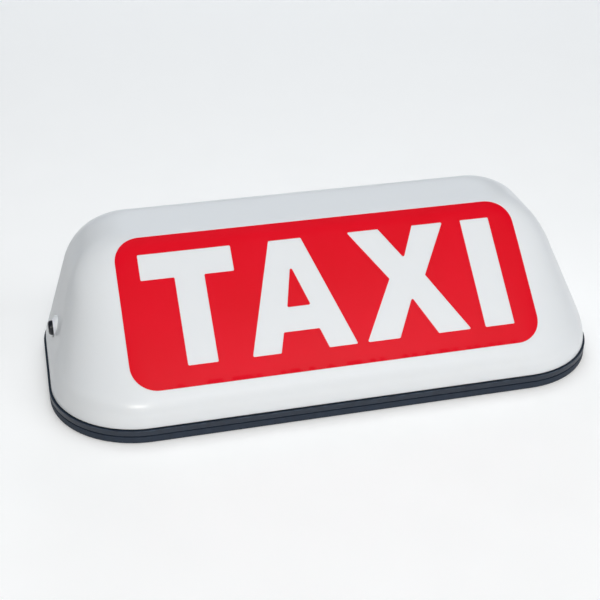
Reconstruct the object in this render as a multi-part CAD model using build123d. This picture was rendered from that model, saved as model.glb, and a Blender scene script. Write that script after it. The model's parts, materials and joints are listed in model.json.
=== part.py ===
"""Illuminated taxi roof sign: wedge-shaped translucent dome on a magnetic base.

Millimetres. Origin at the middle of the footprint on the roof plane (z = 0),
X along the length, the lettered face looks towards -Y and up, +Z is up.
"""
from build123d import *
import math
import os

os.makedirs("parts", exist_ok=True)

# ---------------------------------------------------------------- driving dimensions
LENGTH, WIDTH, TOP = 300.0, 144.0, 77.0
PLAN_R = 48.5            # corner radius of the base in plan
WALL = 2.5               # dome wall
LEDGE = 1.2              # the base shows this much outside the dome
Z_GROOVE = 3.7           # the skirt steps in here for its shadow line
Z_SKIRT = 4.4            # top of the roof skirt, underside of the tray flange
Z_FLANGE = 7.2           # top of the tray flange, underside of the floor
Z_FLOOR = 9.7            # top of the tray floor
Z_DOME = 7.8             # lower edge of the dome, above the seal
# each side: tilt from upright, height where its plane meets the base outline,
# radius of the soft knee at the bottom and of the crest at the top
FRONT = dict(tilt=50.5, foot=17.5, knee=11.0, crest=17.0)
BACK = dict(tilt=23.5, foot=13.0, knee=20.0, crest=17.0)
END = dict(tilt=18.5, foot=7.5, knee=22.0, crest=34.0)

SCREW_Y, SCREW_Z = 3.0, 28.0    # axis of both end screws, along X
SEAT_X = 143.1           # flat seat under their washers
BOSS_X = 138.0           # inner face of the seat boss
MAGNET_X, MAGNET_Y = 95.0, 38.0
CABLE = (0.0, 52.0)      # grommet centre
BOARD_T = 1.6            # every circuit board
TAP_R = 1.2              # core hole of the M3 board screws
M3_R = 1.7               # clearance hole of the M3 board screws


# ---------------------------------------------------------------- helpers
def zcyl(r, z0, z1, x=0.0, y=0.0):
    """Cylinder along Z from z0 to z1."""
    return Pos(x, y, z0) * extrude(Circle(r), z1 - z0)


def xcyl(r, x0, x1):
    """Cylinder along X on the end screws' axis."""
    return Pos(x0, SCREW_Y, SCREW_Z) * extrude(Plane.YZ * Circle(r), x1 - x0)


def box(x0, x1, y0, y1, z0, z1):
    centre = Pos((x0 + x1) / 2, (y0 + y1) / 2, (z0 + z1) / 2)
    return centre * Box(x1 - x0, y1 - y0, z1 - z0)


def xbox(sx, xa, xb, y0, y1, z0, z1):
    """Box between two distances xa < xb from the middle, on side sx."""
    return box(min(sx * xa, sx * xb), max(sx * xa, sx * xb), y0, y1, z0, z1)


def slab(w, h, t, r=0.0):
    """Plate standing on z = 0, centred, with optional corner radius."""
    return extrude(RectangleRounded(w, h, r) if r else Rectangle(w, h), t)


def outline(inset, z0, z1):
    """Solid plate with the base outline pulled in by inset."""
    s = RectangleRounded(LENGTH - 2 * inset, WIDTH - 2 * inset, PLAN_R - inset)
    return Pos(0, 0, z0) * extrude(s, z1 - z0)


def ring(i0, i1, z0, z1):
    """Band between two insets of the base outline."""
    return outline(i0, z0, z1) - outline(i1, z0 - 1, z1 + 1)


def on(plane, shape, u=0.0, v=0.0, w=0.0):
    """Shape modelled about its own origin, placed at u, v, w of a plane."""
    return plane * (Pos(u, v, w) * shape)


def top_edge(shape):
    """The highest circular edge."""
    return shape.edges().filter_by(GeomType.CIRCLE).sort_by(Axis.Z)[-1]


def solids_of(shape):
    """Group of the solids in a shape, smallest crumbs dropped."""
    return Compound(children=[s for s in shape.solids() if s.volume > 0.01])


def write(name, *shapes):
    """One node: all solids of the shapes in one STEP file."""
    solids = [s for shape in shapes for s in shape.solids()]
    export_step(Compound(children=solids), f"parts/{name}.step")


# ---------------------------------------------------------------- dome skin
def inset_at(z, side, t):
    """Horizontal inset of one side of the dome at height z, t mm under the skin."""
    a = math.radians(side["tilt"])
    rk, rc, foot = side["knee"], side["crest"], side["foot"]
    zk = foot + LEDGE / math.tan(a) - rk * math.tan(a / 2)    # knee centre
    zc = TOP - rc                                             # crest centre
    ic = (zc - foot) * math.tan(a) + rc / math.cos(a)
    if z < zk:
        return LEDGE + t
    if z < zk + (rk - t) * math.sin(a):
        return LEDGE + rk - math.sqrt((rk - t) ** 2 - (z - zk) ** 2)
    if z < zc + (rc - t) * math.sin(a):
        return (z - foot) * math.tan(a) + t / math.cos(a)
    return ic - math.sqrt(max(0.0, (rc - t) ** 2 - (z - zc) ** 2))


def section(z, t):
    """Outline of the dome at height z, t mm under the skin."""
    f, b, e = (inset_at(z, s, t) for s in (FRONT, BACK, END))
    depth = WIDTH - f - b
    # corner radius shrinks with the depth, so the corners are plain cones
    r = (PLAN_R - LEDGE - t) * depth / (WIDTH - 2 * (LEDGE + t))
    return Pos(0, (f - b) / 2, z) * RectangleRounded(LENGTH - 2 * e, depth, r)


def dome_body(t):
    """Solid inside the dome skin, t mm under it, closed at the lower edge."""
    top = TOP - t
    crest_drops = (5.0, 4.0, 3.1, 2.3, 1.6, 1.0, 0.55, 0.25, 0.07, 0.0)
    zs = [Z_DOME, 9.5, 11, 12.5, 14, 15.5, 17, 18.5, 20, 22, 25, 28.5, 32, 36, 40,
          44, 47.5, 51, 54, 57, 59.5, 62, 64.5, 67, 69, 71]
    zs = [z for z in zs if z < top - crest_drops[0] - 0.6]
    zs += [top - d for d in crest_drops]
    return loft([section(z, t) for z in zs], ruled=True)


outer = dome_body(0.0)
inner = dome_body(WALL)

# ---------------------------------------------------------------- dome cover
PAD_R, POCKET_R = 6.2, 5.4
DOME_HOLE_R = 2.25       # clearance of the M4 end screws


def make_dome():
    """Shell with a round flat seat in each end, proud of the wall above the
    screw and sunk into it below."""
    dome = outer - inner
    for sx in (-1, 1):
        dome += xcyl(PAD_R, sx * BOSS_X, sx * LENGTH / 2) & outer
        dome += xcyl(PAD_R, sx * BOSS_X, sx * SEAT_X)
        dome -= xcyl(POCKET_R, sx * SEAT_X, sx * LENGTH / 2)
        dome -= xcyl(DOME_HOLE_R, sx * (BOSS_X - 3), sx * LENGTH / 2)
    return solids_of(dome)


write("dome_cover", make_dome())

# ---------------------------------------------------------------- front film
FACE_A = math.radians(FRONT["tilt"])
FACE_UP = Vector(0, math.sin(FACE_A), math.cos(FACE_A))
FACE_N = Vector(0, -math.cos(FACE_A), math.sin(FACE_A))
FACE_FOOT = Vector(0, -WIDTH / 2, FRONT["foot"])      # where s = 0 up the face
PANEL_W, PANEL_H, PANEL_R = 219.0, 84.0, 14.0
PANEL_S = 11.0           # lower edge of the film up the face
FILM_T = 0.25
CAP = 62.5               # letter height
V0 = 11.0                # foot of the letters above the film's lower edge
V1 = V0 + CAP
BAR = V1 - 14.5          # underside of the bar of the T
WAIST = 44.4             # where the strokes of the X cross
CUT_R = 0.7              # corners of the cut letters


def letter(points):
    """Outline measured from the lower left corner of the film, its corners
    rounded as a knife plotter leaves them."""
    shifted = [(u - PANEL_W / 2, v - PANEL_H / 2) for u, v in points]
    face = make_face(Polyline(*shifted, close=True))
    return fillet(face.vertices(), CUT_R)


def letters():
    t = letter([(11.7, BAR), (29.2, BAR), (29.2, V0), (44.8, V0), (44.8, BAR), (60.6, BAR),
                (60.6, V1), (11.7, V1)])
    a = letter([(62.4, V0), (77.4, V0), (80.6, 22.0), (99.6, 22.0), (102.9, V0),
                (118.3, V0), (98.8, V1), (81.2, V1)])
    a -= letter([(84.8, 35.5), (97.3, 35.5), (90.4, 58.5)])
    x = letter([(124.2, V1), (141.8, V1), (152.8, 55.5), (161.1, V1), (178.6, V1),
                (162.3, WAIST), (180.8, V0), (162.6, V0), (152.3, 32.5), (141.2, V0),
                (123.4, V0), (142.3, WAIST)])
    i = letter([(188.8, V0), (205.3, V0), (205.3, V1), (188.8, V1)])
    return t, a, x, i


def make_film():
    """Skin-thick layer on the face, with the letters cut out of it."""
    panel = RectangleRounded(PANEL_W, PANEL_H, PANEL_R)
    for cut in letters():
        panel -= cut
    centre = FACE_FOOT + FACE_UP * (PANEL_S + PANEL_H / 2)
    reach = 9.0          # behind the face, to the crest's drop
    plane = Plane(origin=centre - FACE_N * reach, x_dir=(1, 0, 0), z_dir=FACE_N)
    return solids_of((dome_body(-FILM_T) - outer) & extrude(plane * panel, reach + 3))


write("front_film", make_film())

# ---------------------------------------------------------------- seal
write("dome_seal", ring(1.4, 3.6, Z_FLANGE, Z_DOME - 0.05))

# ---------------------------------------------------------------- light boards' planes
FB_L, FB_W = 212.0, 34.0         # front board, parallel to the lettered face
FB_X = 80.0                      # its brackets
FB_S, FB_BEHIND = 58.0, 30.0     # its centre up the face and behind it
F_C = FACE_FOOT + FACE_UP * FB_S - FACE_N * FB_BEHIND
front_plane = Plane(origin=F_C, x_dir=(1, 0, 0), z_dir=FACE_N)

RB_L, RB_W = 170.0, 18.0         # rear board, parallel to the back
RB_X = 60.0
RB_S, RB_BEHIND = 31.0, 20.0
BACK_A = math.radians(BACK["tilt"])
BACK_UP = Vector(0, -math.sin(BACK_A), math.cos(BACK_A))
BACK_N = Vector(0, math.cos(BACK_A), math.sin(BACK_A))
B_C = Vector(0, WIDTH / 2, BACK["foot"]) + BACK_UP * RB_S - BACK_N * RB_BEHIND
rear_plane = Plane(origin=B_C, x_dir=(-1, 0, 0), z_dir=BACK_N)

FRONT_FEET_Y = (-30.0, -10.0)    # screws of the front brackets' feet
REAR_FOOT_Y = 48.0
DRIVER = (0.0, 10.0)             # driver board centre
DRIVER_Z = 13.5                  # its underside, on posts
DRIVER_HOLES = [(DRIVER[0] + sx * 33.0, DRIVER[1] + sy * 11.0)
                for sx in (-1, 1) for sy in (-1, 1)]
MAGNETS = [(sx * MAGNET_X, sy * MAGNET_Y) for sx in (-1, 1) for sy in (-1, 1)]

# ---------------------------------------------------------------- base tray
NUT_S, NUT_H = 7.0, 3.2          # M4 square nuts behind the lugs
NUT_GAP = 0.3                    # each side of a nut, between the cheeks
LUG_OUT, LUG_IN = BOSS_X - 0.1, BOSS_X - 4.1
CHEEK_IN, FOOT_IN = BOSS_X - 7.6, BOSS_X - 11.6
LUG_Y = 7.3                      # half width
LUG_TOP = 33.0
NUT_FLOOR = SCREW_Z - NUT_S / 2 - 0.6
SLOT_R = 2.3
RIB = 0.9                        # half thickness of the ribs


def end_lug(sx):
    """Slotted lug, open at the top so that the dome lifts off with its nut."""
    lug = xbox(sx, LUG_IN, LUG_OUT, SCREW_Y - LUG_Y, SCREW_Y + LUG_Y,
               Z_FLOOR - 0.2, LUG_TOP)
    cheek = LUG_Y - NUT_S / 2 - NUT_GAP
    for y0 in (SCREW_Y - LUG_Y, SCREW_Y + LUG_Y - cheek):
        lug += xbox(sx, CHEEK_IN, LUG_IN, y0, y0 + cheek, NUT_FLOOR, LUG_TOP)
    web = Plane.XZ * make_face(Polyline(
        (sx * LUG_IN, Z_FLOOR - 0.2), (sx * FOOT_IN, Z_FLOOR - 0.2),
        (sx * FOOT_IN, 16.0), (sx * CHEEK_IN, NUT_FLOOR),
        (sx * LUG_IN, NUT_FLOOR), close=True))
    lug += Pos(0, SCREW_Y + LUG_Y, 0) * extrude(web, 2 * LUG_Y)
    lug -= xcyl(SLOT_R, sx * (BOSS_X + 1), sx * (BOSS_X - 5))
    return lug - xbox(sx, LUG_IN - 0.5, LUG_OUT + 1, SCREW_Y - SLOT_R,
                      SCREW_Y + SLOT_R, SCREW_Z, LUG_TOP + 5)


def make_tray():
    tray = ring(0.0, 8.0, Z_SKIRT, Z_FLANGE) + outline(4.0, Z_FLANGE, Z_FLOOR)
    tray -= ring(3.0, 5.0, Z_SKIRT - 0.5, 5.9)           # groove for the skirt
    for x, y in MAGNETS:
        tray += zcyl(12.0, 6.4, Z_FLANGE + 0.2, x, y)
        tray -= zcyl(2.2, 5, 11, x, y)
    for x in (-50.0, 50.0):                              # ribs between the magnets
        tray += box(x - RIB, x + RIB, -63.0, 63.0, 4.2, Z_FLANGE + 0.2)
    tray += box(-60.0, 60.0, -RIB, RIB, 4.2, Z_FLANGE + 0.2)
    for sx in (-1, 1):
        tray += end_lug(sx)
    for x, y in DRIVER_HOLES:
        tray += zcyl(3.0, Z_FLOOR - 0.2, DRIVER_Z, x, y)
        tray -= zcyl(TAP_R, 9.9, 14, x, y)
    for x, y in feet():
        tray -= zcyl(TAP_R, 8.2, 11, x, y)
    return solids_of(tray - zcyl(5.1, 5, 11, *CABLE))


def feet():
    """Screw places in the feet of all brackets."""
    spots = [(sx * FB_X, y) for sx in (-1, 1) for y in FRONT_FEET_Y]
    return spots + [(sx * RB_X, REAR_FOOT_Y) for sx in (-1, 1)]


write("base_tray", make_tray())

# ---------------------------------------------------------------- roof skirt
skirt = ring(0.0, 7.0, 0.0, Z_GROOVE)
skirt += ring(0.9, 7.0, Z_GROOVE, Z_SKIRT)               # shadow line
skirt += ring(3.1, 4.9, Z_SKIRT - 0.1, 5.8)              # tongue in the tray
skirt -= box(-4.0, 4.0, 60.0, 75.0, -1.0, 3.2)           # cable outlet
write("roof_skirt", solids_of(skirt))

# ---------------------------------------------------------------- magnets
SCREW_M4 = 1.95          # shank of the magnet and end screws


def magnet_screw():
    """M4 button head screw with a hexagon socket."""
    head_z, head_top = Z_FLOOR + 0.8, Z_FLOOR + 3.4
    s = zcyl(SCREW_M4, 4.4, head_z + 0.2) + zcyl(4.0, head_z, head_top)
    s = fillet(top_edge(s), 0.9)
    return s - extrude(Pos(0, 0, head_top - 1.5) * RegularPolygon(1.6, 6), 3)


magnet_pieces = {
    "magnet_boots": zcyl(20.0, 0.0, Z_FLANGE) - zcyl(18.85, 1.0, 6.4) - zcyl(15.0, 6, 8),
    "magnet_cups": zcyl(18.8, 1.0, 6.4) - zcyl(16.3, 0.5, 4.3) - zcyl(2.0, 4, 7),
    "magnet_discs": zcyl(16.2, 1.0, 4.3) - zcyl(3.0, 0.5, 5),
    "magnet_washers": zcyl(4.5, Z_FLOOR, Z_FLOOR + 0.8) - zcyl(2.15, 9, 11),
    "magnet_screws": magnet_screw(),
}
for name, piece in magnet_pieces.items():
    write(name, *[Pos(x, y, 0) * piece for x, y in MAGNETS])

# ---------------------------------------------------------------- grommet
grommet = zcyl(5.0, Z_FLANGE - 0.1, Z_FLOOR + 0.1) + zcyl(7.0, 5.6, Z_FLANGE)
grommet += zcyl(7.0, Z_FLOOR, 11.4)
grommet -= zcyl(2.6, 5, 12)
write("cable_grommet", Pos(*CABLE, 0) * grommet)

# ---------------------------------------------------------------- boards
FRONT_HOLES = [(sx * FB_X, sv * 11.0) for sx in (-1, 1) for sv in (-1, 1)]
REAR_HOLES = [(sx * RB_X, 0.0) for sx in (-1, 1)]


def board(length, width, holes):
    """Circuit board on z = 0, drilled for M3 screws."""
    b = slab(length, width, BOARD_T, 2.0)
    for u, v in holes:
        b -= zcyl(M3_R, -1, 3, u, v)
    return b


write("front_board", on(front_plane, board(FB_L, FB_W, FRONT_HOLES)))
write("rear_board", on(rear_plane, board(RB_L, RB_W, REAR_HOLES)))

led = slab(5.0, 5.0, 1.6, 0.4)
FRONT_LED_U = (-99, -71, -43, -15, 15, 43, 71, 99)
REAR_LED_U = (-76, -46, -16, 16, 46, 76)
write("front_leds", *[on(front_plane, led, u, v, BOARD_T) for u in FRONT_LED_U for v in (-9, 9)])
write("rear_leds", *[on(rear_plane, led, u, 0, BOARD_T) for u in REAR_LED_U])

resistor = slab(3.2, 1.6, 0.6)
write("board_resistors",
      *[on(front_plane, resistor, u, 0, BOARD_T) for u in (-85, -57, -29, 29, 57, 85)],
      *[on(rear_plane, resistor, u, 5.0, BOARD_T) for u in (-31, 31)])

# ---------------------------------------------------------------- brackets
SHEET = 1.2              # folded aluminium
HALF = 7.0               # half width of a bracket


def along(centre, up, normal, v, w):
    """Y and Z of a point v up and w out from a board's centre."""
    p = centre + up * v + normal * w
    return (p.Y, p.Z)


def side_plate(points, x, sx):
    """Upright web of a bracket in a plane across X, at its outer edge."""
    web = extrude(Plane.YZ * make_face(Polyline(*points, close=True)), SHEET)
    return Pos(x + (HALF - SHEET if sx > 0 else -HALF), 0, 0) * web


def front_bracket(sx):
    x, half_v = sx * FB_X, 15.0
    br = box(x - HALF, x + HALF, -36, -4, Z_FLOOR, Z_FLOOR + SHEET)
    br += on(front_plane, slab(2 * HALF, 2 * half_v, SHEET), x, 0, -SHEET)
    br += side_plate([(-34.0, Z_FLOOR + 0.1),
                      along(F_C, FACE_UP, FACE_N, -half_v, -0.3),
                      along(F_C, FACE_UP, FACE_N, half_v, -0.3),
                      (-6.0, Z_FLOOR + 0.1)], x, sx)
    for y in FRONT_FEET_Y:
        br -= zcyl(M3_R, 9, 12, x, y)
    for v in (-11.0, 11.0):
        br -= on(front_plane, zcyl(TAP_R + 0.05, -3, 1), x, v)
    return br


def rear_bracket(sx):
    x, half_v = sx * RB_X, 7.5
    br = box(x - HALF, x + HALF, 41.0, 55.0, Z_FLOOR, Z_FLOOR + SHEET)
    br += on(rear_plane, slab(2 * HALF, 2 * half_v, SHEET), -x, 0, -SHEET)
    br += side_plate([(41.5, Z_FLOOR + 0.1), (50.0, Z_FLOOR + 0.1),
                      along(B_C, BACK_UP, BACK_N, -half_v, -0.3),
                      along(B_C, BACK_UP, BACK_N, half_v, -0.3)], x, sx)
    br -= zcyl(M3_R, 9, 12, x, REAR_FOOT_Y)
    return br - on(rear_plane, zcyl(TAP_R + 0.05, -3, 1), -x, 0)


write("front_brackets", front_bracket(-1), front_bracket(1))
write("rear_brackets", rear_bracket(-1), rear_bracket(1))


# ---------------------------------------------------------------- small screws
def pan_screw(r, h, shank_r, length, slot):
    """Pan head screw standing on z = 0, shank downwards, cross recess."""
    s = fillet(top_edge(zcyl(r, 0, h)), h * 0.45) + zcyl(shank_r, -length, 0.1)
    return s - Pos(0, 0, h) * (Box(r * 1.15, slot, h * 0.9) + Box(slot, r * 1.15, h * 0.9))


board_screw = pan_screw(2.6, 1.8, TAP_R, 4.4, 0.5)
foot_screw = pan_screw(2.6, 1.8, TAP_R, 2.5, 0.5)
write("board_screws",
      *[on(front_plane, board_screw, u, v, BOARD_T) for u, v in FRONT_HOLES],
      *[on(rear_plane, board_screw, u, v, BOARD_T) for u, v in REAR_HOLES])
write("bracket_screws", *[Pos(x, y, Z_FLOOR + SHEET) * foot_screw for x, y in feet()])

# ---------------------------------------------------------------- driver
DT = DRIVER_Z + BOARD_T          # top of the driver board
driver_board = Pos(*DRIVER, DRIVER_Z) * slab(76.0, 32.0, BOARD_T, 2.0)
for x, y in DRIVER_HOLES:
    driver_board -= zcyl(M3_R, 13, 16, x, y)
write("driver_board", driver_board)
write("driver_screws", *[Pos(x, y, DT) * board_screw for x, y in DRIVER_HOLES])

can = Pos(-22.0, 12.0, DT) * extrude(Circle(5.0), 11.0)
write("capacitor", fillet(top_edge(can), 0.8))

COIL = (-4.0, 10.0)
coil = zcyl(6.0, DT, DT + 1.2, *COIL) + zcyl(4.2, DT, DT + 6, *COIL)
write("inductor", coil + zcyl(6.0, DT + 5.4, DT + 6.6, *COIL))

CHIP_X = 7.0
chip = Pos(CHIP_X, 2.5, DT) * slab(5.0, 4.0, 1.4)
for k in (-1.5, -0.5, 0.5, 1.5):                         # gull wing leads
    chip += box(CHIP_X + k - 0.2, CHIP_X + k + 0.2, -0.6, 5.6, DT, DT + 0.5)
write("driver_chip", chip)

TERMINAL_X, TERMINAL_Y = (17.0, 25.0), 15.0
block = box(13.0, 29.0, 11.0, 23.0, DT, DT + 9.5)
for x in TERMINAL_X:
    block -= zcyl(2.2, DT + 5.0, DT + 11, x, TERMINAL_Y)
    block -= box(x - 2.0, x + 2.0, 17.0, 24.0, DT + 1.5, DT + 6.0)
write("terminal_block", block)
clamp_top = DT + 7.6
clamp_screw = zcyl(2.1, DT + 5.0, clamp_top) - Pos(0, 0, clamp_top) * Box(5, 0.7, 1.6)
write("terminal_screws", *[Pos(x, TERMINAL_Y, 0) * clamp_screw for x in TERMINAL_X])

# ---------------------------------------------------------------- leads
LEAD_R, LEAD_BEND = 0.8, 2.0


def lead(x, points):
    """Insulated wire in the plane at x, through points of Y and Z."""
    path = FilletPolyline(*[(x, y, z) for y, z in points], radius=LEAD_BEND)
    return sweep(Plane(origin=path @ 0, z_dir=path % 0) * Circle(LEAD_R), path=path)


front_path = [(-3.0, DT), (-3.0, DT + 4.0), along(F_C, FACE_UP, FACE_N, -3.0, -5.5),
              along(F_C, FACE_UP, FACE_N, -3.0, 0.0)]
rear_path = [(23.0, DT), (23.0, DT + 6.0), along(B_C, BACK_UP, BACK_N, -4.0, -6.0),
             along(B_C, BACK_UP, BACK_N, -4.0, 0.0)]
write("lead_positive", lead(-26.0, front_path), lead(-14.0, rear_path))
write("lead_negative", lead(-21.0, front_path), lead(-9.0, rear_path))

# ---------------------------------------------------------------- end screws
WASHER_R, WASHER_T = 5.0, 1.0
HEAD_R, HEAD_T = 3.9, 2.6        # M4 pan head
SHANK = 17.0
NUT_X = BOSS_X - 4.2             # nut face behind the lug

end_screw = pan_screw(HEAD_R, HEAD_T, SCREW_M4, SHANK, 1.0)
washer = zcyl(WASHER_R, 0, WASHER_T) - zcyl(2.05, -1, 3)
nut = slab(NUT_S, NUT_S, NUT_H) - zcyl(2.0, -1, 5)
for sx, side in ((-1, "left"), (1, "right")):
    seat = Plane(origin=(sx * SEAT_X, SCREW_Y, SCREW_Z), x_dir=(0, 1, 0), z_dir=(sx, 0, 0))
    write(f"{side}_screw", on(seat, end_screw, w=WASHER_T))
    write(f"{side}_washer", on(seat, washer))
    write(f"{side}_nut", on(seat, nut, w=NUT_X - SEAT_X - NUT_H))
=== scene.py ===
"""Looks of the lit taxi roof sign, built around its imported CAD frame. Metres, row frame."""
import json
import math

import bmesh
import bpy
from mathutils import Matrix, Vector
from mathutils.geometry import delaunay_2d_cdt

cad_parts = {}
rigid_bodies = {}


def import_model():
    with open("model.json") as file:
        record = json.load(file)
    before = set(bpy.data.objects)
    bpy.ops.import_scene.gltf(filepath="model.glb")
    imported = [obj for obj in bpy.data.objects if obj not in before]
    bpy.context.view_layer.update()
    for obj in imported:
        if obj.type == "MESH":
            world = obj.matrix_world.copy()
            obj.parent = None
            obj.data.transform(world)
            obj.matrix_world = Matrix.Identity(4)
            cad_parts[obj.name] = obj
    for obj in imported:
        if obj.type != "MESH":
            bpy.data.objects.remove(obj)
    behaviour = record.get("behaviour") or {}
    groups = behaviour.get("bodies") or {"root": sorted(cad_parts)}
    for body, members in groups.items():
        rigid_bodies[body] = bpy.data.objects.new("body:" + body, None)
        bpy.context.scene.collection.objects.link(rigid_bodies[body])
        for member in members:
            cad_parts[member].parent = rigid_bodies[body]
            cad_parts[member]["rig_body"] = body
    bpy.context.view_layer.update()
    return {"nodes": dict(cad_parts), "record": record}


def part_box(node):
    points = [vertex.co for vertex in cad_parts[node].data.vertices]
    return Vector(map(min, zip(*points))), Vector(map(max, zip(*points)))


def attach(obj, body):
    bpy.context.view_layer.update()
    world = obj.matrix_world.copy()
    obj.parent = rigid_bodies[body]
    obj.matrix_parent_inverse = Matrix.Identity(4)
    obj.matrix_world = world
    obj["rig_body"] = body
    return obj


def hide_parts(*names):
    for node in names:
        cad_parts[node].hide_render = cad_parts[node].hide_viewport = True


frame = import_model()
MM = 0.001

# ------------------------------------------------------------------ dimensions, mm, as in the CAD model
DOME_LOW, DOME_HIGH = (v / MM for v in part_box("dome_cover"))
TRAY_LOW, TRAY_HIGH = (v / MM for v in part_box("base_tray"))
LENGTH = TRAY_HIGH.x - TRAY_LOW.x
WIDTH = TRAY_HIGH.y - TRAY_LOW.y
TOP = DOME_HIGH.z
Z_DOME = DOME_LOW.z
PLAN_R = 48.5                   # corner radius of the base outline
LEDGE = 1.2                     # step from the base outline in to the dome
WALL = 2.5
# each side of the dome: tilt from upright, height where its plane meets the base
# outline, radius of the soft knee at the bottom and of the crest at the top
FRONT = dict(tilt=50.5, foot=17.5, knee=11.0, crest=17.0)
BACK = dict(tilt=23.5, foot=13.0, knee=20.0, crest=17.0)
END = dict(tilt=18.5, foot=7.5, knee=22.0, crest=34.0)
FRONT_A = math.radians(FRONT["tilt"])
BACK_A = math.radians(BACK["tilt"])

SCREW_Y, SCREW_Z = 3.0, 28.0    # axis of both end screws, along X
SEAT_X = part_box("right_washer")[0].x / MM       # flat seat under their washers
BOSS_X = 138.0                  # inner face of the seat boss
PAD_R, POCKET_R, HOLE_R = 6.2, 5.4, 2.25
THREAD_PITCH = 0.7
BOARD_T = 1.6

PANEL_W, PANEL_H, PANEL_R = 219.0, 84.0, 14.0
PANEL_S = 11.0                  # lower edge of the film up the face
FILM_T = 0.25
CAP = 62.5                      # letter height
V0, V1 = 11.0, 11.0 + CAP       # foot and head of the letters above the film's lower edge
BAR = V1 - 14.5                 # underside of the bar of the T
WAIST = 44.4                    # where the strokes of the X cross
CUT_R = 0.7                     # corners of the cut letters


# ------------------------------------------------------------------ mesh helpers
def new_object(name, data):
    ob = bpy.data.objects.new(name, data)
    bpy.context.scene.collection.objects.link(ob)
    return ob


def new_mesh(name, verts, faces, smooth=True):
    """Object from points in mm."""
    me = bpy.data.meshes.new(name)
    me.from_pydata([(x * MM, y * MM, z * MM) for x, y, z in verts], [], faces)
    me.validate()
    if smooth:
        me.polygons.foreach_set("use_smooth", [True] * len(me.polygons))
    me.update()
    return new_object(name, me)


def fix_normals(ob):
    bm = bmesh.new()
    bm.from_mesh(ob.data)
    bmesh.ops.recalc_face_normals(bm, faces=bm.faces)
    bm.to_mesh(ob.data)
    bm.free()


def apply_modifiers(ob):
    bpy.context.view_layer.update()
    depsgraph = bpy.context.evaluated_depsgraph_get()
    me = bpy.data.meshes.new_from_object(ob.evaluated_get(depsgraph))
    ob.modifiers.clear()
    old = ob.data
    ob.data = me
    bpy.data.meshes.remove(old)


def boolean(ob, tool, op):
    """Joins, cuts or meets an object with a tool, which is used up."""
    m = ob.modifiers.new("b", "BOOLEAN")
    m.operation = op
    m.object = tool
    m.solver = "EXACT"
    apply_modifiers(ob)
    me = tool.data
    bpy.data.objects.remove(tool)
    bpy.data.meshes.remove(me)


def shade(ob, angle=35.0):
    """Smooth shading, with edges sharper than angle kept hard."""
    me = ob.data
    me.polygons.foreach_set("use_smooth", [True] * len(me.polygons))
    me.set_sharp_from_angle(angle=math.radians(angle))
    me.update()


def weigh_normals(ob):
    """Large faces stay flat, and the bevels take up the turn."""
    m = ob.modifiers.new("normals", "WEIGHTED_NORMAL")
    m.keep_sharp = True
    m.weight = 80
    apply_modifiers(ob)


# ------------------------------------------------------------------ dome
# points on each corner, along each long side and along each end; quads across the flat on top
N_ARC, N_LONG, N_END, N_CREST = 22, 56, 14, 8


def inset_at(z, side, t=0.0):
    """Horizontal inset of one side of the dome at height z, t mm under the skin."""
    a = math.radians(side["tilt"])
    rk, rc, foot = side["knee"], side["crest"], side["foot"]
    zk = foot + LEDGE / math.tan(a) - rk * math.tan(a / 2)      # knee centre
    zc = TOP - rc                                               # crest centre
    ic = (zc - foot) * math.tan(a) + rc / math.cos(a)
    if z < zk:
        return LEDGE + t
    if z < zk + (rk - t) * math.sin(a):
        return LEDGE + rk - math.sqrt((rk - t) ** 2 - (z - zk) ** 2)
    if z < zc + (rc - t) * math.sin(a):
        return (z - foot) * math.tan(a) + t / math.cos(a)
    return ic - math.sqrt(max(0.0, (rc - t) ** 2 - (z - zc) ** 2))


def section_size(z, t=0.0):
    """Half length, low y, high y and corner radius of the dome at height z."""
    f, b, e = (inset_at(z, s, t) for s in (FRONT, BACK, END))
    depth = WIDTH - f - b
    # the corner radius shrinks with the depth, so the corners are plain cones
    r = (PLAN_R - LEDGE - t) * depth / (WIDTH - 2 * (LEDGE + t))
    return LENGTH / 2 - e, -WIDTH / 2 + f, WIDTH / 2 - b, r


def section_points(z, t=0.0):
    """Closed ring of points round the dome at height z, anticlockwise from above."""
    hx, y0, y1, r = section_size(z, t)
    corners = [(hx - r, y0 + r, -90), (hx - r, y1 - r, 0),
               (-hx + r, y1 - r, 90), (-hx + r, y0 + r, 180)]
    pts = []
    for k, (cx, cy, a0) in enumerate(corners):
        for i in range(N_ARC):
            a = math.radians(a0 + 90.0 * i / N_ARC)
            pts.append((cx + r * math.cos(a), cy + r * math.sin(a), z))
        nx, ny, _ = corners[(k + 1) % 4]
        a1 = math.radians(a0 + 90)
        start = (cx + r * math.cos(a1), cy + r * math.sin(a1))
        end = (nx + r * math.cos(a1), ny + r * math.sin(a1))
        n = N_LONG if k % 2 else N_END
        for i in range(n):
            s = i / n
            pts.append((start[0] + (end[0] - start[0]) * s,
                        start[1] + (end[1] - start[1]) * s, z))
    return pts


def dome_levels(t=0.0):
    """Heights of the rings, closest together where the skin curves most."""
    knee = [Z_DOME + 0.35 * i for i in range(3)] + [9.0 + 1.0 * i for i in range(16)]
    slope = [26.0 + 2.2 * i for i in range(12)]
    z_crest, n = 52.0, 34
    rise = TOP - t - z_crest
    crest = [z_crest + rise * math.sin(math.pi / 2 * i / n) for i in range(n + 1)]
    return knee + slope + crest


def skin(t, verts, faces, flip):
    """Adds one skin of the dome, closed at the top; returns its lowest ring."""
    rings = []
    for z in dome_levels(t):
        base = len(verts)
        verts += section_points(z, t)
        rings.append(list(range(base, len(verts))))
    n = len(rings[0])
    for low, high in zip(rings, rings[1:]):
        for i in range(n):
            j = (i + 1) % n
            quad = [low[i], low[j], high[j], high[i]]
            faces.append(quad[::-1] if flip else quad)
    bridge_crest(rings[-1], verts, faces, flip)
    return rings[0]


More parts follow.
